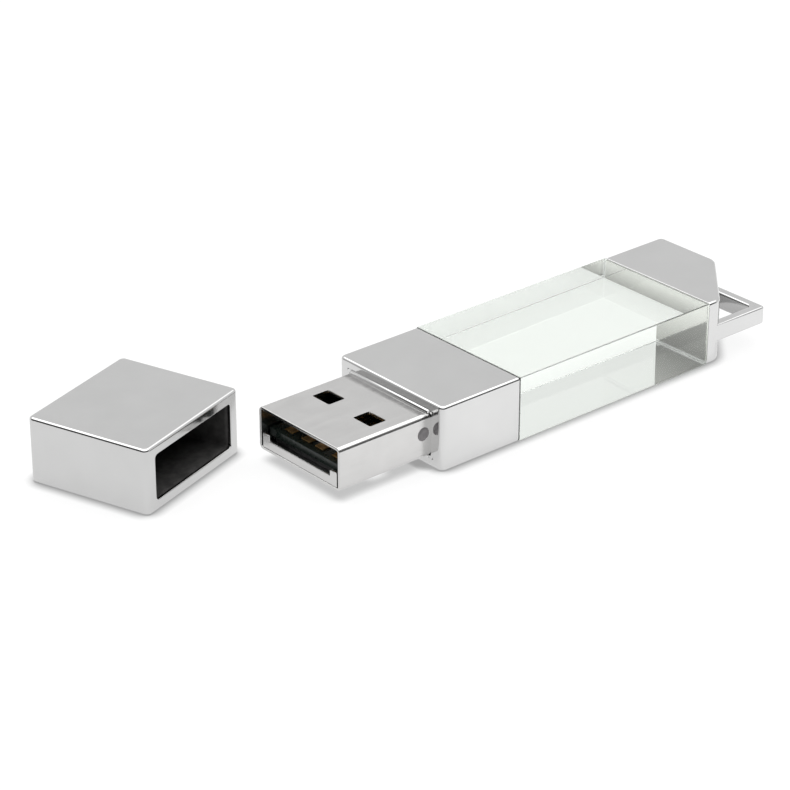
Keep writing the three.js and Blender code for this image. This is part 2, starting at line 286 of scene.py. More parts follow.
class Material:
    """A node material built step by step, on Object coordinates."""

    def __init__(self, name):
        self.data = bpy.data.materials.new(name)
        self.data.use_nodes = True
        self.tree = self.data.node_tree
        self.shader = self.tree.nodes["Principled BSDF"]
        self.place = self.tree.nodes.new("ShaderNodeTexCoord").outputs["Object"]

    def set(self, **values):
        """Fixed values on the shader's own sockets, with underscores for the spaces in their names."""
        for name, value in values.items():
            self.shader.inputs[name.replace("_", " ")].default_value = value
        return self

    def node(self, kind, inputs=(), **settings):
        """A new node, with its settings, and each input linked or given a fixed value."""
        made = self.tree.nodes.new(kind)
        for name, value in settings.items():
            setattr(made, name, value)
        for socket, value in dict(inputs).items():
            if isinstance(value, bpy.types.NodeSocket):
                self.tree.links.new(value, made.inputs[socket])
            else:
                made.inputs[socket].default_value = value
        return made

    def noise(self, size, detail=3, stretch=(1, 1, 1)):
        """Noise with features about size metres across, drawn out along an axis whose stretch is small."""
        place = self.node("ShaderNodeMapping", {"Vector": self.place, "Scale": stretch}).outputs["Vector"]
        noise = self.node("ShaderNodeTexNoise", {"Vector": place, "Scale": 1 / size, "Detail": detail})
        return noise.outputs["Fac"]

    def spread(self, value, low, high, start=0.35, end=0.65):
        """A value between start and end, spread over low to high and held inside them."""
        return self.node("ShaderNodeMapRange", {
            "Value": value, "From Min": start, "From Max": end, "To Min": low, "To Max": high,
        }).outputs["Result"]

    def blend(self, value, first, second):
        """A colour between two, chosen by a value from 0 to 1."""
        mix = self.node("ShaderNodeMix", {"Factor": value}, data_type="RGBA")
        mix.inputs[6].default_value = (*first, 1)
        mix.inputs[7].default_value = (*second, 1)
        return mix.outputs[2]

    def colour(self, value):
        self.tree.links.new(value, self.shader.inputs["Base Color"])
        return self

    def mottled(self, size, first, second):
        """Lets the colour drift between two, in patches about size metres across."""
        return self.colour(self.blend(self.spread(self.noise(size), 0, 1), first, second))

    def hazed(self, low, high, *grain):
        """Lets the roughness drift between two values, over a grain given as noise() takes it."""
        haze = self.spread(self.noise(*grain), low, high)
        self.tree.links.new(haze, self.shader.inputs["Roughness"])
        return self

    def bump(self, height, depth, strength):
        """Fine relief, from a height between 0 and 1."""
        made = self.node("ShaderNodeBump", {"Height": height, "Distance": depth, "Strength": strength})
        self.tree.links.new(made.outputs["Normal"], self.shader.inputs["Normal"])
        return self


def shade(colour, factor):
    """A colour made darker or lighter."""
    return tuple(min(1.0, channel * factor) for channel in colour)


def polished_casting_material(tone, roughness):
    """Buffed and plated die casting: soft haze that drifts over the surface, and the finest buffing lines."""
    metal = Material("polished_casting").set(Metallic=1.0)
    metal.mottled(4 * MM, shade(tone, 0.985), shade(tone, 1.015))
    metal.hazed(roughness * 0.85, roughness * 1.2, 1.2 * MM, 5)
    return metal.bump(metal.noise(0.12 * MM, 2, (0.15, 1, 1)), 0.0006 * MM, 0.25).data


def plated_sheet_material(tone, roughness):
    """Nickel-plated pressed sheet, with the rolling direction along the plug."""
    metal = Material("plated_sheet").set(Metallic=1.0)
    metal.mottled(2.5 * MM, shade(tone, 0.975), shade(tone, 1.02))
    metal.hazed(roughness * 0.8, roughness * 1.25, 0.3 * MM, 4, (0.06, 1, 1))
    return metal.bump(metal.noise(0.08 * MM, 2, (0.05, 1, 1)), 0.001 * MM, 0.35).data


def black_moulding_material(name, tone, roughness=0.5, gleam=0.5):
    """Moulded plastic with a fine spark-eroded grain."""
    plastic = Material(name).set(Specular_IOR_Level=gleam)
    plastic.mottled(0.8 * MM, shade(tone, 0.8), shade(tone, 1.3))
    plastic.hazed(roughness * 0.9, roughness * 1.15, 0.5 * MM)
    return plastic.bump(plastic.noise(0.06 * MM, 3), 0.004 * MM, 0.5).data


def clear_glass_material(name, tint, ior, frost):
    """Optical glass with the faintest polishing haze, or frosted where it is ground."""
    glass = Material(name).set(Transmission_Weight=1.0, IOR=ior)
    glass.mottled(9 * MM, tint, shade(tint, 0.995))
    return glass.hazed(frost, frost + 0.006, 3 * MM).data


def adhesive_material():
    """Clear adhesive, set hard on the bright metal, with painted shade low down and a few pinhead bubbles
    there.
    """
    film = Material("adhesive_film").set(Metallic=1.0)
    cells = film.node("ShaderNodeTexVoronoi", {"Vector": film.place, "Scale": 1 / (0.42 * MM)})
    bubbles = film.spread(cells.outputs["Distance"], 1, 0, 0.12, 0.2)
    patches = film.spread(film.noise(0.9 * MM, 2), 0, 1, 0.52, 0.56)
    height = film.node("ShaderNodeSeparateXYZ", {"Vector": film.place}).outputs["Z"]
    low = film.spread(height, 1, 0, 1.6 * MM, 2.2 * MM)
    few = film.node("ShaderNodeMath", {0: patches, 1: low}, operation="MULTIPLY").outputs["Value"]
    both = film.node("ShaderNodeMath", {0: bubbles, 1: few}, operation="MULTIPLY").outputs["Value"]
    # Painted shade: the film's colour grows darker towards the bottom.
    painted_shade_low = film.blend(film.spread(height, 0, 1, 0.6 * MM, 5.4 * MM), (0.42, 0.418, 0.4), (0.82, 0.815, 0.79))
    mix = film.node("ShaderNodeMix", {"Factor": both, 6: painted_shade_low}, data_type="RGBA")
    mix.inputs[7].default_value = (1, 1, 1, 1)
    film.colour(mix.outputs[2])
    film.hazed(0.03, 0.06, 3 * MM)
    return film.bump(both, 0.02 * MM, 0.6).data


def contact_gold_material():
    """Gold flash over copper, with faint wipe marks along the contact."""
    gold = Material("contact_gold").set(Metallic=1.0)
    gold.mottled(0.7 * MM, (0.5, 0.31, 0.13), (0.62, 0.41, 0.18))
    return gold.hazed(0.4, 0.55, 0.15 * MM, 3, (0.08, 1, 1)).data


def solder_material():
    """Tinned metal, slightly frosted."""
    tin = Material("tinned_metal").set(Metallic=1.0)
    tin.mottled(0.6 * MM, (0.56, 0.56, 0.55), (0.7, 0.7, 0.69))
    return tin.hazed(0.25, 0.42, 0.12 * MM).data


def laminate_material():
    """Dark solder mask over a woven laminate, whose weave just shows."""
    mask = Material("board_laminate")
    weave = [
        mask.node("ShaderNodeTexWave", {
            "Vector": mask.place, "Scale": 1 / (2.6 * MM), "Distortion": 0.6, "Detail": 1.0,
        }, bands_direction=axis).outputs["Fac"]
        for axis in ("X", "Y")
    ]
    cloth = mask.node("ShaderNodeMath", {0: weave[0], 1: weave[1]}, operation="MULTIPLY").outputs["Value"]
    mask.colour(mask.blend(cloth, (0.012, 0.02, 0.016), (0.02, 0.032, 0.025)))
    mask.hazed(0.24, 0.36, 0.5 * MM)
    return mask.bump(cloth, 0.006 * MM, 0.4).data


def ceramic_material():
    """Fired ceramic chip body, slightly mottled."""
    body = Material("fired_ceramic")
    body.mottled(0.15 * MM, (0.36, 0.24, 0.14), (0.5, 0.36, 0.22))
    return body.hazed(0.4, 0.6, 0.1 * MM).data


def floor_material(stage):
    """Pale table glowing as if lit from below, with a painted contact shade where something stands on it.

    What it sends to the pieces is a painted pool of light, stronger before the glass than beside the cap.
    """
    table = Material("lit_table").set(Roughness=0.9, Specular_IOR_Level=0.1)
    tone = tuple(stage.floor_tone)
    table.mottled(0.2, shade(tone, 0.99), tone)
    # Painted contact shade: the glow is dimmed wherever occlusion finds other geometry close by.
    near = table.node("ShaderNodeAmbientOcclusion", {"Distance": stage.contact}, samples=16).outputs["AO"]
    painted_contact_shade = table.spread(near, 0.36, 1.04, 0.5, 0.93)
    place = table.node("ShaderNodeSeparateXYZ", {"Vector": table.place}).outputs
    # Painted pool of light: the glow other rays see rises towards the front and before the glass.
    in_front = table.spread(place["Y"], 1.2, 1.06, GLASS[0].y - 1.5 * MM, GLASS[0].y)
    brighter = table.spread(place["X"], 0.92, in_front, -46 * MM, -14 * MM)
    # Camera rays see the painted contact shade, and all other rays see the painted pool of light.
    seen = table.node("ShaderNodeLightPath").outputs["Is Camera Ray"]
    factor = table.node("ShaderNodeMapRange", {
        "Value": seen, "From Min": 0, "From Max": 1, "To Min": brighter, "To Max": painted_contact_shade}).outputs["Result"]
    glow = table.node(
        "ShaderNodeMath", {0: factor, 1: stage.floor_glow}, operation="MULTIPLY").outputs["Value"]
    table.shader.inputs["Emission Color"].default_value = (1, 1, 1, 1)
    table.tree.links.new(glow, table.shader.inputs["Emission Strength"])
    return table.data


# ---------------------------------------------------------------- mesh helpers

def piece(name, mesh, material, body, node=None):
    """Links a finished mesh as a piece that rides on a body and stands for a node."""
    made = bpy.data.objects.new(name, mesh)
    bpy.context.collection.objects.link(made)
    if material is not None:
        mesh.materials.clear()
        mesh.materials.append(material)
    if node is not None:
        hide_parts(node)
    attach(made, body)
    return made


def dress(node, material):
    """Gives a CAD node that stays in view its finished material."""
    data = frame["nodes"][node].data
    data.materials.clear()
    data.materials.append(material)


def mesh_of(bm, name, turn=0.0):
    """A mesh from bmesh, turned about the vertical axis, with its faces pointing outwards."""
    bmesh.ops.remove_doubles(bm, verts=bm.verts, dist=SAME)
    bmesh.ops.recalc_face_normals(bm, faces=bm.faces)
    bm.transform(Matrix.Rotation(math.radians(turn), 4, "Z"))
    mesh = bpy.data.meshes.new(name)
    bm.to_mesh(mesh)
    bm.free()
    return mesh


def prism(outline, low, high):
    """An upright prism on a plan outline."""
    bm = bmesh.new()
    base = [bm.verts.new((x, y, low)) for x, y in outline]
    lid = [bm.verts.new((x, y, high)) for x, y in outline]
    bm.faces.new(reversed(base))
    bm.faces.new(lid)
    for i, vert in enumerate(base):
        j = (i + 1) % len(base)
        bm.faces.new((vert, base[j], lid[j], lid[i]))
    return bm


def block(low, high):
    """A box between two corners."""
    outline = [(low[0], low[1]), (high[0], low[1]), (high[0], high[1]), (low[0], high[1])]
    return prism(outline, low[2], high[2])


def round_edges(bm, chosen, radius, segments):
    """Rounds the edges that a test picks."""
    edges = [edge for edge in bm.edges if chosen(edge)]
    bmesh.ops.bevel(bm, geom=edges, offset=radius, segments=segments, profile=0.5, affect="EDGES")
    return bm


def upright(edge):
    """Whether an edge stands upright."""
    a, b = (vert.co for vert in edge.verts)
    return (a - b).xy.length < SAME


def level_at(edge, *heights):
    """Whether an edge lies level at one of the given heights."""
    return any(all(abs(vert.co.z - height) < SAME for vert in edge.verts) for height in heights)


def across_at(edge, x):
    """Whether an edge lies in the upright plane at x."""
    return all(abs(vert.co.x - x) < SAME for vert in edge.verts)


def finished(mesh, name, cutters=(), unions=(), edge=0.0, segments=2, turn=0.0):
    """A mesh joined to some others and cut by others, its sharp edges eased and its shading evened."""
    work = bpy.data.objects.new(name + "_work", mesh)
    bpy.context.collection.objects.link(work)
    helpers = []
    for operation, meshes in (("UNION", unions), ("DIFFERENCE", cutters)):
        for other in meshes:
            helper = bpy.data.objects.new(name + "_tool", other)
            bpy.context.collection.objects.link(helper)
            helpers.append(helper)
            step = work.modifiers.new(operation, "BOOLEAN")
            step.operation, step.solver, step.object = operation, "EXACT", helper
    if edge:
        ease = work.modifiers.new("ease", "BEVEL")
        ease.width, ease.segments = edge, segments
        ease.limit_method, ease.angle_limit = "ANGLE", math.radians(50)
        ease.use_clamp_overlap = True
    for polygon in mesh.polygons:
        polygon.use_smooth = True
    even = work.modifiers.new("even", "WEIGHTED_NORMAL")
    even.weight, even.keep_sharp = 100, True
    graph = bpy.context.evaluated_depsgraph_get()
    result = bpy.data.meshes.new_from_object(work.evaluated_get(graph), depsgraph=graph)
    result.name = name
    for leftover in (work, *helpers):
        bpy.data.objects.remove(leftover)
    for polygon in result.polygons:
        polygon.use_smooth = True
    if turn:
        result.transform(Matrix.Rotation(math.radians(turn), 4, "Z"))
    return result


def rounded_loop(width, height, radius, steps=6):
    """Points of a rounded rectangle about the origin, as (across, up)."""
    points = []
    for corner, (sx, sy) in enumerate(((1, 1), (-1, 1), (-1, -1), (1, -1))):
        for i in range(steps + 1):
            angle = math.radians(90 * corner + 90 * i / steps)
            points.append((
                sx * (width / 2 - radius) + radius * math.cos(angle),
                sy * (height / 2 - radius) + radius * math.sin(angle),
            ))
    return points


def ring_solid(stations, middle=(0.0, 0.0), close=True):
    """A solid through rounded rectangles along X. Each station is (x, width, height, corner radius).

    With close it is a tube whose last station joins the first. Without it the two ends are faced.
    """
    bm = bmesh.new()
    rings = []
    for x, width, height, radius in stations:
        loop = rounded_loop(width, height, radius)
        rings.append([bm.verts.new((x, middle[0] + y, middle[1] + z)) for y, z in loop])
    pairs = list(zip(rings, rings[1:]))
    if close:
        pairs.append((rings[-1], rings[0]))
    else:
        bm.faces.new(rings[0])
        bm.faces.new(list(reversed(rings[-1])))
    for first, second in pairs:
        for i in range(len(first)):
            j = (i + 1) % len(first)
            bm.faces.new((first[i], first[j], second[j], second[i]))
    return bm


def softened(node, name, edge, segments=2):
    """A copy of a CAD node with its triangles merged and its edges eased."""
    bm = bmesh.new()
    bm.from_mesh(frame["nodes"][node].data)
    bmesh.ops.remove_doubles(bm, verts=bm.verts, dist=SAME)
    bmesh.ops.dissolve_limit(bm, angle_limit=math.radians(1), verts=bm.verts, edges=bm.edges)
    mesh = bpy.data.meshes.new(name)
    bm.to_mesh(mesh)
    bm.free()
    return finished(mesh, name, edge=edge, segments=segments)


# ---------------------------------------------------------------- pieces of the drive

class DRIVE_OT_front_housing(bpy.types.Operator):
    """Front metal housing, with its room for the board and the doorway for the plug"""
    bl_idname = "drive.front_housing"
    bl_label = "Front Housing"

    def execute(self, context):
        cast = context.scene.drive_casting
        low, high = HOUSING
        bm = block(low, high)
        round_edges(bm, lambda e: upright(e) and e.verts[0].co.x < low.x + TOUCH, cast.corner, 6)
        round_edges(
            bm, lambda e: level_at(e, low.z, high.z) and not across_at(e, high.x), cast.edge, 5)
        round_edges(bm, lambda e: across_at(e, high.x), cast.seam, 3)
        inset = Vector((cast.wall,) * 3)
        room = mesh_of(block(low + inset, high - inset), "room")
        door = mesh_of(block(
            (low.x - MM, COLLAR[0].y, COLLAR[0].z),
            (low.x + 1.2 * cast.wall, COLLAR[1].y, COLLAR[1].z)), "door")
        mesh = finished(mesh_of(bm, "shell"), "front_housing_shell", cutters=(room, door), edge=FINE_EDGE)
        piece("front_housing_shell", mesh, polished_metal(context), "drive", "front_housing")
        return {"FINISHED"}


class DRIVE_OT_tail_casting(bpy.types.Operator):
    """Tail casting with its cut corner, and the lanyard loop whose two bars complete the rectangle"""
    bl_idname = "drive.tail_casting"
    bl_label = "Tail Casting"

    def execute(self, context):
        cast, loop = context.scene.drive_casting, context.scene.drive_loop
        low, high = TAIL
        start = low.x + loop.cut_start
        bm = prism([
            (low.x, low.y), (start, low.y), (high.x, loop.cut_end), (high.x, high.y), (low.x, high.y),
        ], low.z, high.z)
        round_edges(bm, lambda e: upright(e) and e.verts[0].co.x > low.x + TOUCH, cast.corner, 6)
        round_edges(
            bm, lambda e: level_at(e, low.z, high.z) and not across_at(e, low.x), cast.edge, 5)
        round_edges(bm, lambda e: across_at(e, low.x), 0.6 * cast.seam, 3)
        top = loop.underside + loop.height
        root = start - cast.corner - 0.1 * MM
        inner = (high.x - loop.bar, low.y + loop.bar)
        bars = prism([
            (root, low.y), (high.x, low.y), (high.x, loop.cut_end + loop.bar),
            (high.x - loop.bar, loop.cut_end + loop.bar), inner, (root, low.y + loop.bar),
        ], loop.underside, top)
        for corner in (Vector((high.x, low.y)), Vector(inner)):
            round_edges(
                bars, lambda e: upright(e) and (e.verts[0].co.xy - corner).length < TOUCH, BAR_CORNER, 5)
        round_edges(bars, lambda e: level_at(e, loop.underside, top), 0.2 * MM, 4)
        mesh = finished(
            mesh_of(bm, "body"), "tail_casting", unions=(mesh_of(bars, "bars"),), edge=0.1 * MM, segments=3)
        piece("tail_casting", mesh, polished_metal(context), "drive", "tail_cap")
        return {"FINISHED"}


class DRIVE_OT_plug_shell(bpy.types.Operator):
    """Pressed plug shell: latch windows through top and bottom, a dent in each side and a seam beneath"""
    bl_idname = "drive.plug_shell"
    bl_label = "Plug Shell"

    def execute(self, context):
        plug = context.scene.drive_plug
        low, high = PLUG
        width, height = high.y - low.y, high.z - low.z
        lip = 0.08 * MM
        inner_w, inner_h = width - 2 * plug.wall, height - 2 * plug.wall
        inner_r = plug.corner - plug.wall
        bm = ring_solid([
            (high.x, width, height, plug.corner),
            (low.x + lip, width, height, plug.corner),
            (low.x + lip * 0.3, width - lip * 0.6, height - lip * 0.6, plug.corner - lip * 0.3),
            (low.x, width - 2 * lip, height - 2 * lip, plug.corner - lip),
            (low.x, inner_w + lip, inner_h + lip, inner_r + lip / 2),
            (low.x + lip, inner_w, inner_h, inner_r),
            (high.x, inner_w, inner_h, inner_r),
        ], (0.0, MIDDLE_Z))
        cutters = [made(side) for made in (self.window, self.dent) for side in (-1, 1)] + [self.seam()]
        mesh = finished(mesh_of(bm, "tube"), "plug_shell_sheet", cutters=cutters, edge=0.04 * MM)
        mesh.materials.clear()
        mesh.materials.append(plated_metal(context))
        # The dent's hollow gets the darker dull material, which is painted shade in the recess.
        mesh.materials.append(black_moulding_material("dent_painted_shade", tuple(plug.dent_shade_tone), 0.7))
        for polygon in mesh.polygons:
            polygon.material_index = 1 if self.in_dent(polygon.center) else 0
        piece("plug_shell_sheet", mesh, None, "drive", "plug_shell")
        return {"FINISHED"}

    def window(self, side):
        """The cutter of one pair of latch windows."""
        plug = bpy.context.scene.drive_plug
        start = PLUG[0].x + plug.window_from_tip
        middle = side * plug.window_pitch / 2
        bm = block(
            (start, middle - plug.window_width / 2, PLUG[0].z - MM),
            (start + plug.window_length, middle + plug.window_width / 2, PLUG[1].z + MM))
        round_edges(bm, upright, WINDOW_CORNER, 3)
        return mesh_of(bm, "window")

    def in_dent(self, point):
        """Whether a point lies in the hollow of a side dent."""
        plug = bpy.context.scene.drive_plug
        away = Vector((
            point.x - HOUSING[0].x + plug.dent_from_housing, point.z - MIDDLE_Z - plug.dent_rise))
        depth = PLUG[1].y - abs(point.y)
        return away.length < plug.dent_radius and 0.01 * MM < depth < plug.dent_depth + 0.001 * MM

    def dent(self, side):
        """The cutter of the shallow round dent in one side."""
        plug = bpy.context.scene.drive_plug
        bm = bmesh.new()
        bmesh.ops.create_uvsphere(bm, u_segments=40, v_segments=20, radius=1.0)
        bm.transform(
            Matrix.Translation((
                HOUSING[0].x - plug.dent_from_housing, PLUG[1].y if side > 0 else PLUG[0].y,
                MIDDLE_Z + plug.dent_rise))
            @ Matrix.Diagonal((plug.dent_radius, plug.dent_depth, plug.dent_radius, 1)))
        return mesh_of(bm, "dent")

    def seam(self):
        """The cutter of the butt joint along the underside."""
        return mesh_of(block(
            (PLUG[0].x + 0.8 * MM, -0.03 * MM, PLUG[0].z - MM),
            (PLUG[1].x + MM, 0.03 * MM, PLUG[0].z + 0.12 * MM)), "seam")


class DRIVE_OT_plug_collar(bpy.types.Operator):
    """Collar that frames the plug flush with the housing, with a rounded bead above and below"""
    bl_idname = "drive.plug_collar"
    bl_label = "Plug Collar"

    def execute(self, context):
        low, high = COLLAR
        width, height = high.y - low.y, high.z - low.z
        plug_w, plug_h = PLUG[1].y - PLUG[0].y, PLUG[1].z - PLUG[0].z
        rim = (width - plug_w) / 2
        face = HOUSING[0].x
        ring = ring_solid([
            (high.x, width, height, rim), (face, width, height, rim),
            (face, plug_w, plug_h, rim / 2), (high.x, plug_w, plug_h, rim / 2),
        ], (0.0, MIDDLE_Z))
        beads = [self.bead(low.z, PLUG[0].z, low.z), self.bead(PLUG[1].z, high.z, high.z)]
        mesh = finished(mesh_of(ring, "rim"), "collar_rim", unions=beads, edge=FINE_EDGE)
        piece("collar_rim", mesh, polished_metal(context), "drive", "plug_collar")
        return {"FINISHED"}

    def bead(self, low_z, high_z, outer_z):
        """One bead, rounded along its outer front edge and at its two ends."""
        front, half = COLLAR[0].x, (PLUG[1].y - PLUG[0].y) / 2 - 0.25 * MM
        bm = block((front, -half, low_z), (HOUSING[0].x + 0.2 * MM, half, high_z))
        at_front = [
            e for e in bm.edges
            if all(v.co.x < front + SAME for v in e.verts) and (upright(e) or level_at(e, outer_z))]
        bmesh.ops.bevel(bm, geom=at_front, offset=BEAD_ROUNDING, segments=6, profile=0.5, affect="EDGES")
        return mesh_of(bm, "bead")


class DRIVE_OT_glass_block(bpy.types.Operator):
    """Clear block, wetted into the adhesive at both ends, with fine ground edges"""
    bl_idname = "drive.glass_block"
    bl_label = "Glass Block"

    def execute(self, context):
        glass = context.scene.drive_glass
        low, high = (corner.copy() for corner in GLASS)
        wetted = WETTED * (GLASS[0].x - HOUSING[1].x)
        low.x -= wetted
        high.x += wetted
        bm = block(low, high)
        round_edges(bm, lambda e: True, glass.arris, 2)
        mesh = finished(mesh_of(bm, "glass"), "clear_block")
        tint = tuple(glass.tint)
        mesh.materials.append(clear_glass_material("clear_glass", tint, glass.ior, 0.0))
        mesh.materials.append(clear_glass_material("ground_glass", tint, glass.ior, 0.5))
        for polygon in mesh.polygons:
            polygon.material_index = 0 if max(abs(part) for part in polygon.normal) > 0.999 else 1
        piece("clear_block", mesh, None, "drive", "glass_block")
        return {"FINISHED"}


class DRIVE_OT_bond_films(bpy.types.Operator):
    """Adhesive films between the glass and the metal ends"""
    bl_idname = "drive.bond_films"
    bl_label = "Bond Films"

    def execute(self, context):
        film = adhesive_material()
        for node in ("front_bond", "tail_bond"):
            dress(node, film)
        return {"FINISHED"}


# ---------------------------------------------------------------- board and contacts

class DRIVE_OT_board(bpy.types.Operator):
    """Board, its support tray and frame, and the parts soldered to it"""
    bl_idname = "drive.board"
    bl_label = "Board and Parts"

    def execute(self, context):
        tin, gold = solder_material(), contact_gold_material()
        epoxy = black_moulding_material("package_epoxy", (0.018, 0.018, 0.019), 0.42)
        plain = {
            "circuit_board": (laminate_material(), 0.05),
            "board_frame": (black_moulding_material("frame_plastic", (0.02, 0.02, 0.02)), 0.06),
            "memory_package": (epoxy, 0.06),
            "controller_chip": (epoxy, 0.06),
            "clock_crystal": (tin, 0.15),
            "board_support": (plated_metal(context), 0.06),
            **{f"contact_{i}": (gold, 0.05) for i in range(1, 5)},
        }
        for node, (material, edge) in plain.items():
            name = node + "_piece"
            piece(name, softened(node, name, edge * MM), material, "drive", node)
        for node, material in (
            *((f"capacitor_{i}", ceramic_material()) for i in (1, 2, 3)),
            *((f"resistor_{i}", epoxy) for i in (1, 2)),
        ):
            self.chip(node, material, tin)
        return {"FINISHED"}

    def chip(self, node, material, tin):
        """A small two-ended part: its body with a tinned cap at each end."""
        low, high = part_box(node)
        length = high.x - low.x
        mesh = finished(mesh_of(block(low, high), node), node + "_piece", edge=0.04 * MM)
        mesh.materials.append(material)
        mesh.materials.append(tin)
        bm = bmesh.new()
        bm.from_mesh(mesh)
        for share in (0.25, 0.75):
            x = low.x + share * length
            bmesh.ops.bisect_plane(
                bm, geom=bm.verts[:] + bm.edges[:] + bm.faces[:], plane_co=(x, 0, 0), plane_no=(1, 0, 0))
        for face in bm.faces:
            share = (face.calc_center_median().x - low.x) / length
            face.material_index = 1 if share < 0.25 or share > 0.75 else 0
        bm.to_mesh(mesh)
        bm.free()
        piece(node + "_piece", mesh, None, "drive", node)


class DRIVE_OT_controller_leads(bpy.types.Operator):
    """Rows of leads along the two long sides of the controller"""
    bl_idname = "drive.controller_leads"
    bl_label = "Controller Leads"

    def execute(self, context):
        board = context.scene.drive_board
        low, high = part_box("controller_chip")
        tin = bpy.data.materials["tinned_metal"]
        size = (0.24 * MM, 0.3 * MM, 0.12 * MM)
        row = board.lead_pitch * (board.leads - 1)
        start = ((low.x + high.x - row) / 2, low.y - size[1] / 2, low.z + size[2] / 2)
        across = high.y - low.y + size[1]
        mesh = repeated_blocks(
            "controller_leads", tin, size,
            first=(board.leads, (board.lead_pitch, 0, 0)), second=(2, (0, across, 0)), start=start)
        piece("controller_leads", mesh, None, "drive")
        return {"FINISHED"}


class DRIVE_OT_contact_traces(bpy.types.Operator):
    """Copper traces that run back from the contacts towards the controller"""
    bl_idname = "drive.contact_traces"
    bl_label = "Contact Traces"

    def execute(self, context):
        board = context.scene.drive_board
        low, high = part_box("contact_1")[1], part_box("contact_4")[0]
        pitch = (high.y - low.y) / board.traces
        size = (1.6 * MM, 0.25 * MM, 0.035 * MM)
        mesh = repeated_blocks(
            "contact_traces", contact_gold_material(), size,
            first=(board.traces, (0, pitch, 0)), second=(1, (0, 0, 0)),
            start=(low.x + size[0] / 2, low.y + pitch / 2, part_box("circuit_board")[1].z + size[2] / 2))
        piece("contact_traces", mesh, None, "drive")
        return {"FINISHED"}


def repeated_blocks(name, material, size, first, second, start):
    """Small blocks repeated along two directions by Geometry Nodes, as one plain mesh."""
    tree = bpy.data.node_groups.new(name + "_rows", "GeometryNodeTree")
    face = tree.interface
    face.new_socket("Geometry", in_out="OUTPUT", socket_type="NodeSocketGeometry")
    sockets = {
        "Size": ("NodeSocketVector", size),
        "Start": ("NodeSocketVector", start),
        "Count": ("NodeSocketInt", first[0]),
        "Step": ("NodeSocketVector", first[1]),
        "Rows": ("NodeSocketInt", second[0]),
        "Row Step": ("NodeSocketVector", second[1]),
        "Material": ("NodeSocketMaterial", material),
    }
    made = {
        label: face.new_socket(label, in_out="INPUT", socket_type=kind)
        for label, (kind, _) in sockets.items()
    }
    kinds = {
        "given": "NodeGroupInput",
        "cube": "GeometryNodeMeshCube",
        "row": "GeometryNodeMeshLine",
        "rows": "GeometryNodeMeshLine",
        "place": "GeometryNodeInstanceOnPoints",
        "spread": "GeometryNodeInstanceOnPoints",
        "realize": "GeometryNodeRealizeInstances",
        "paint": "GeometryNodeSetMaterial",
        "result": "NodeGroupOutput",
    }
    nodes = {label: tree.nodes.new(kind) for label, kind in kinds.items()}
    for source, output, target, socket in (
        ("given", "Size", "cube", "Size"),
        ("given", "Count", "row", "Count"),
        ("given", "Step", "row", "Offset"),
        ("given", "Start", "row", "Start Location"),
        ("given", "Rows", "rows", "Count"),
        ("given", "Row Step", "rows", "Offset"),
        ("row", "Mesh", "place", "Points"),
        ("cube", "Mesh", "place", "Instance"),
        ("rows", "Mesh", "spread", "Points"),
        ("place", "Instances", "spread", "Instance"),
        ("spread", "Instances", "realize", "Geometry"),
        ("realize", "Geometry", "paint", "Geometry"),
        ("given", "Material", "paint", "Material"),
        ("paint", "Geometry", "result", "Geometry"),
    ):
        tree.links.new(nodes[source].outputs[output], nodes[target].inputs[socket])
    carrier = bpy.data.objects.new(name + "_carrier", bpy.data.meshes.new(name + "_carrier"))
    bpy.context.collection.objects.link(carrier)
    modifier = carrier.modifiers.new("rows", "NODES")
    modifier.node_group = tree
    for label, (_, value) in sockets.items():
        modifier[made[label].identifier] = value
    graph = bpy.context.evaluated_depsgraph_get()
    mesh = bpy.data.meshes.new_from_object(carrier.evaluated_get(graph), depsgraph=graph)
    mesh.name = name
    bpy.data.objects.remove(carrier)
    return mesh


# ---------------------------------------------------------------- cap

class DRIVE_OT_cap_shell(bpy.types.Operator):
    """Pull-off cap: a polished box open at one end"""
    bl_idname = "drive.cap_shell"
    bl_label = "Cap Shell"

    def execute(self, context):
        cast, cap = context.scene.drive_casting, context.scene.drive_cap
        low, high = CAP
        bm = block(low, high)
        round_edges(bm, upright, cast.corner, 6)
        round_edges(bm, lambda e: level_at(e, low.z, high.z), cast.edge, 5)
        pocket = mesh_of(block(
            (low.x + cap.end, low.y + cap.wall_side, low.z + cap.wall_top),
            (high.x - cap.lip, high.y - cap.wall_side, high.z - cap.wall_top)), "pocket")
        middle_y = (low.y + high.y) / 2
        half_w = (PLUG[1].y - PLUG[0].y) / 2 + cap.mouth_side
        mouth = block(
            (high.x - cap.lip - MM, middle_y - half_w, PLUG[0].z - cap.mouth_top),
            (high.x + MM, middle_y + half_w, PLUG[1].z + cap.mouth_top))
        round_edges(mouth, lambda e: abs(e.verts[0].co.x - e.verts[1].co.x) > cap.lip, MOUTH_CORNER, 5)
        mesh = finished(
            mesh_of(bm, "cap"), "cap_casting", cutters=(pocket, mesh_of(mouth, "mouth")),
            edge=0.08 * MM, segments=3, turn=CAP_YAW)
        piece("cap_casting", mesh, polished_metal(context), "cap", "cap_shell")
        return {"FINISHED"}


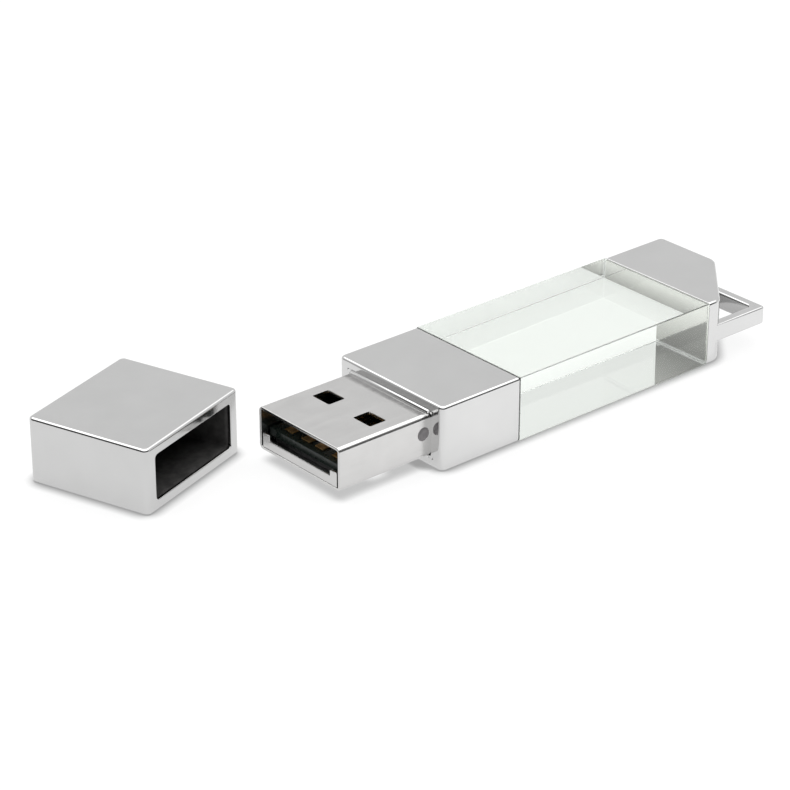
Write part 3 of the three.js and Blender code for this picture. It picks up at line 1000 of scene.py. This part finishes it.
class DRIVE_OT_cap_liner(bpy.types.Operator):
    """Black moulded liner that grips the plug inside the cap"""
    bl_idname = "drive.cap_liner"
    bl_label = "Cap Liner"

    def execute(self, context):
        cap = context.scene.drive_cap
        low, high = LINER
        middle = ((low.y + high.y) / 2, (low.z + high.z) / 2)
        width, height = high.y - low.y, high.z - low.z
        pocket_w = PLUG[1].y - PLUG[0].y + 2 * cap.fit
        pocket_h = PLUG[1].z - PLUG[0].z + 2 * cap.fit
        lead_in = 0.1 * MM
        bm = ring_solid([
            (low.x, width, height, 0.1 * MM),
            (high.x, width, height, 0.1 * MM),
            (high.x, pocket_w + 2 * lead_in, pocket_h + 2 * lead_in, 0.4 * MM),
            (high.x - 3 * lead_in, pocket_w, pocket_h, 0.35 * MM),
            (low.x + cap.liner_wall, pocket_w, pocket_h, 0.35 * MM),
        ], middle, close=False)
        mesh = finished(mesh_of(bm, "liner"), "cap_liner_moulding", turn=CAP_YAW)
        tone = black_moulding_material("liner_plastic", tuple(cap.tone), 0.75, 0.1)
        piece("cap_liner_moulding", mesh, tone, "cap", "cap_liner")
        return {"FINISHED"}


# ---------------------------------------------------------------- shared finishes

def polished_metal(context):
    """The casting finish, made once."""
    cast = context.scene.drive_casting
    known = bpy.data.materials.get("polished_casting")
    return known or polished_casting_material(tuple(cast.tone), cast.roughness)


def plated_metal(context):
    """The plug's plated finish, made once."""
    plug = context.scene.drive_plug
    known = bpy.data.materials.get("plated_sheet")
    return known or plated_sheet_material(tuple(plug.tone), plug.roughness)


# ---------------------------------------------------------------- stage

class DRIVE_OT_stage(bpy.types.Operator):
    """Plain pale floor, soft light from above, pale surround and the camera"""
    bl_idname = "drive.stage"
    bl_label = "Stage"

    def execute(self, context):
        self.camera(context)
        self.floor(context)
        self.light(context)
        return {"FINISHED"}

    def camera(self, context):
        """The camera, aimed at the front of the housing."""
        stage = context.scene.drive_stage
        target = Vector((HOUSING[0].x + 0.67 * MM, 0, 5.15 * MM))
        away = Vector((
            math.cos(stage.elevation) * math.cos(stage.azimuth),
            math.cos(stage.elevation) * math.sin(stage.azimuth),
            math.sin(stage.elevation),
        ))
        data = bpy.data.cameras.new("camera")
        data.lens, data.sensor_width, data.clip_start = stage.lens, 36, 0.01
        camera = bpy.data.objects.new("camera", data)
        camera.location = target + stage.distance * away
        camera.rotation_euler = (-away).to_track_quat("-Z", "Y").to_euler()
        context.collection.objects.link(camera)
        context.scene.camera = camera

    def floor(self, context):
        """The table, just under what stands on it."""
        stage = context.scene.drive_stage
        reach = 1.5
        below = 0.03 * MM
        bm = bmesh.new()
        bmesh.ops.create_grid(bm, x_segments=1, y_segments=1, size=reach)
        mesh = bpy.data.meshes.new("floor")
        bm.to_mesh(mesh)
        bm.free()
        mesh.materials.append(floor_material(stage))
        floor = bpy.data.objects.new("floor", mesh)
        floor.location.z = CAD_BOX[0].z - below
        context.collection.objects.link(floor)

    def light(self, context):
        """A pale sweep beyond the table, a soft light overhead and an unlit room behind the camera."""
        stage = context.scene.drive_stage
        world = bpy.data.worlds.new("studio")
        world.use_nodes = True
        tree = world.node_tree
        place = tree.nodes.new("ShaderNodeTexCoord").outputs["Generated"]
        height = directed(tree, place, (0, 0, 1))
        side = directed(tree, place, (math.cos(stage.azimuth), math.sin(stage.azimuth), 0))
        behind = ramp(tree, side, -0.5, 0.4, 0, 1)
        dark = ramp(tree, height, sine(58), sine(40), 0, behind)
        pale = ramp(tree, height, sine(34), sine(50), stage.sweep, stage.overhead)
        lit = ramp(tree, dark, 0, 1, pale, stage.room)
        seen = tree.nodes.new("ShaderNodeLightPath").outputs["Is Camera Ray"]
        strength = ramp(tree, seen, 0, 1, lit, stage.sweep)
        background = tree.nodes["Background"]
        background.inputs["Color"].default_value = (1, 1, 1, 1)
        tree.links.new(strength, background.inputs["Strength"])
        context.scene.world = world
        context.scene.view_settings.view_transform = "Standard"


def sine(degrees):
    """The height of a direction that rises at an angle."""
    return math.sin(math.radians(degrees))


def directed(tree, place, direction):
    """How far a direction of view leans towards another."""
    dot = tree.nodes.new("ShaderNodeVectorMath")
    dot.operation = "DOT_PRODUCT"
    tree.links.new(place, dot.inputs[0])
    dot.inputs[1].default_value = direction
    return dot.outputs["Value"]


def ramp(tree, value, start, end, low, high):
    """A smooth change from low to high as a value goes from start to end."""
    made = tree.nodes.new("ShaderNodeMapRange")
    made.interpolation_type = "SMOOTHSTEP"
    for name, given in (
        ("Value", value), ("From Min", start), ("From Max", end), ("To Min", low), ("To Max", high),
    ):
        if isinstance(given, bpy.types.NodeSocket):
            tree.links.new(given, made.inputs[name])
        else:
            made.inputs[name].default_value = given
    return made.outputs["Result"]


# ---------------------------------------------------------------- panel and registration

PIECES = (
    DRIVE_OT_front_housing,
    DRIVE_OT_tail_casting,
    DRIVE_OT_plug_shell,
    DRIVE_OT_plug_collar,
    DRIVE_OT_glass_block,
    DRIVE_OT_bond_films,
    DRIVE_OT_board,
    DRIVE_OT_controller_leads,
    DRIVE_OT_contact_traces,
    DRIVE_OT_cap_shell,
    DRIVE_OT_cap_liner,
    DRIVE_OT_stage,
)


class DRIVE_PT_panel(bpy.types.Panel):
    """Lists the pieces in the order in which they are made"""
    bl_idname = "DRIVE_PT_panel"
    bl_label = "Flash Drive"
    bl_space_type = "VIEW_3D"
    bl_region_type = "UI"
    bl_category = "Flash Drive"

    def draw(self, context):
        for made in PIECES:
            self.layout.operator(made.bl_idname)
        for name, settings in SETTINGS.items():
            box = self.layout.box()
            for prop in settings.__annotations__:
                box.prop(getattr(context.scene, name), prop)


def register():
    for made in (*SETTINGS.values(), *PIECES, DRIVE_PT_panel):
        bpy.utils.register_class(made)
    for name, settings in SETTINGS.items():
        setattr(bpy.types.Scene, name, PointerProperty(type=settings))


def unregister():
    for name in SETTINGS:
        delattr(bpy.types.Scene, name)
    for made in reversed((*SETTINGS.values(), *PIECES, DRIVE_PT_panel)):
        bpy.utils.unregister_class(made)


def main():
    """Makes every piece in order."""
    register()
    for made in PIECES:
        group, name = made.bl_idname.split(".")
        getattr(getattr(bpy.ops, group), name)()


if __name__ == "__main__":
    main()
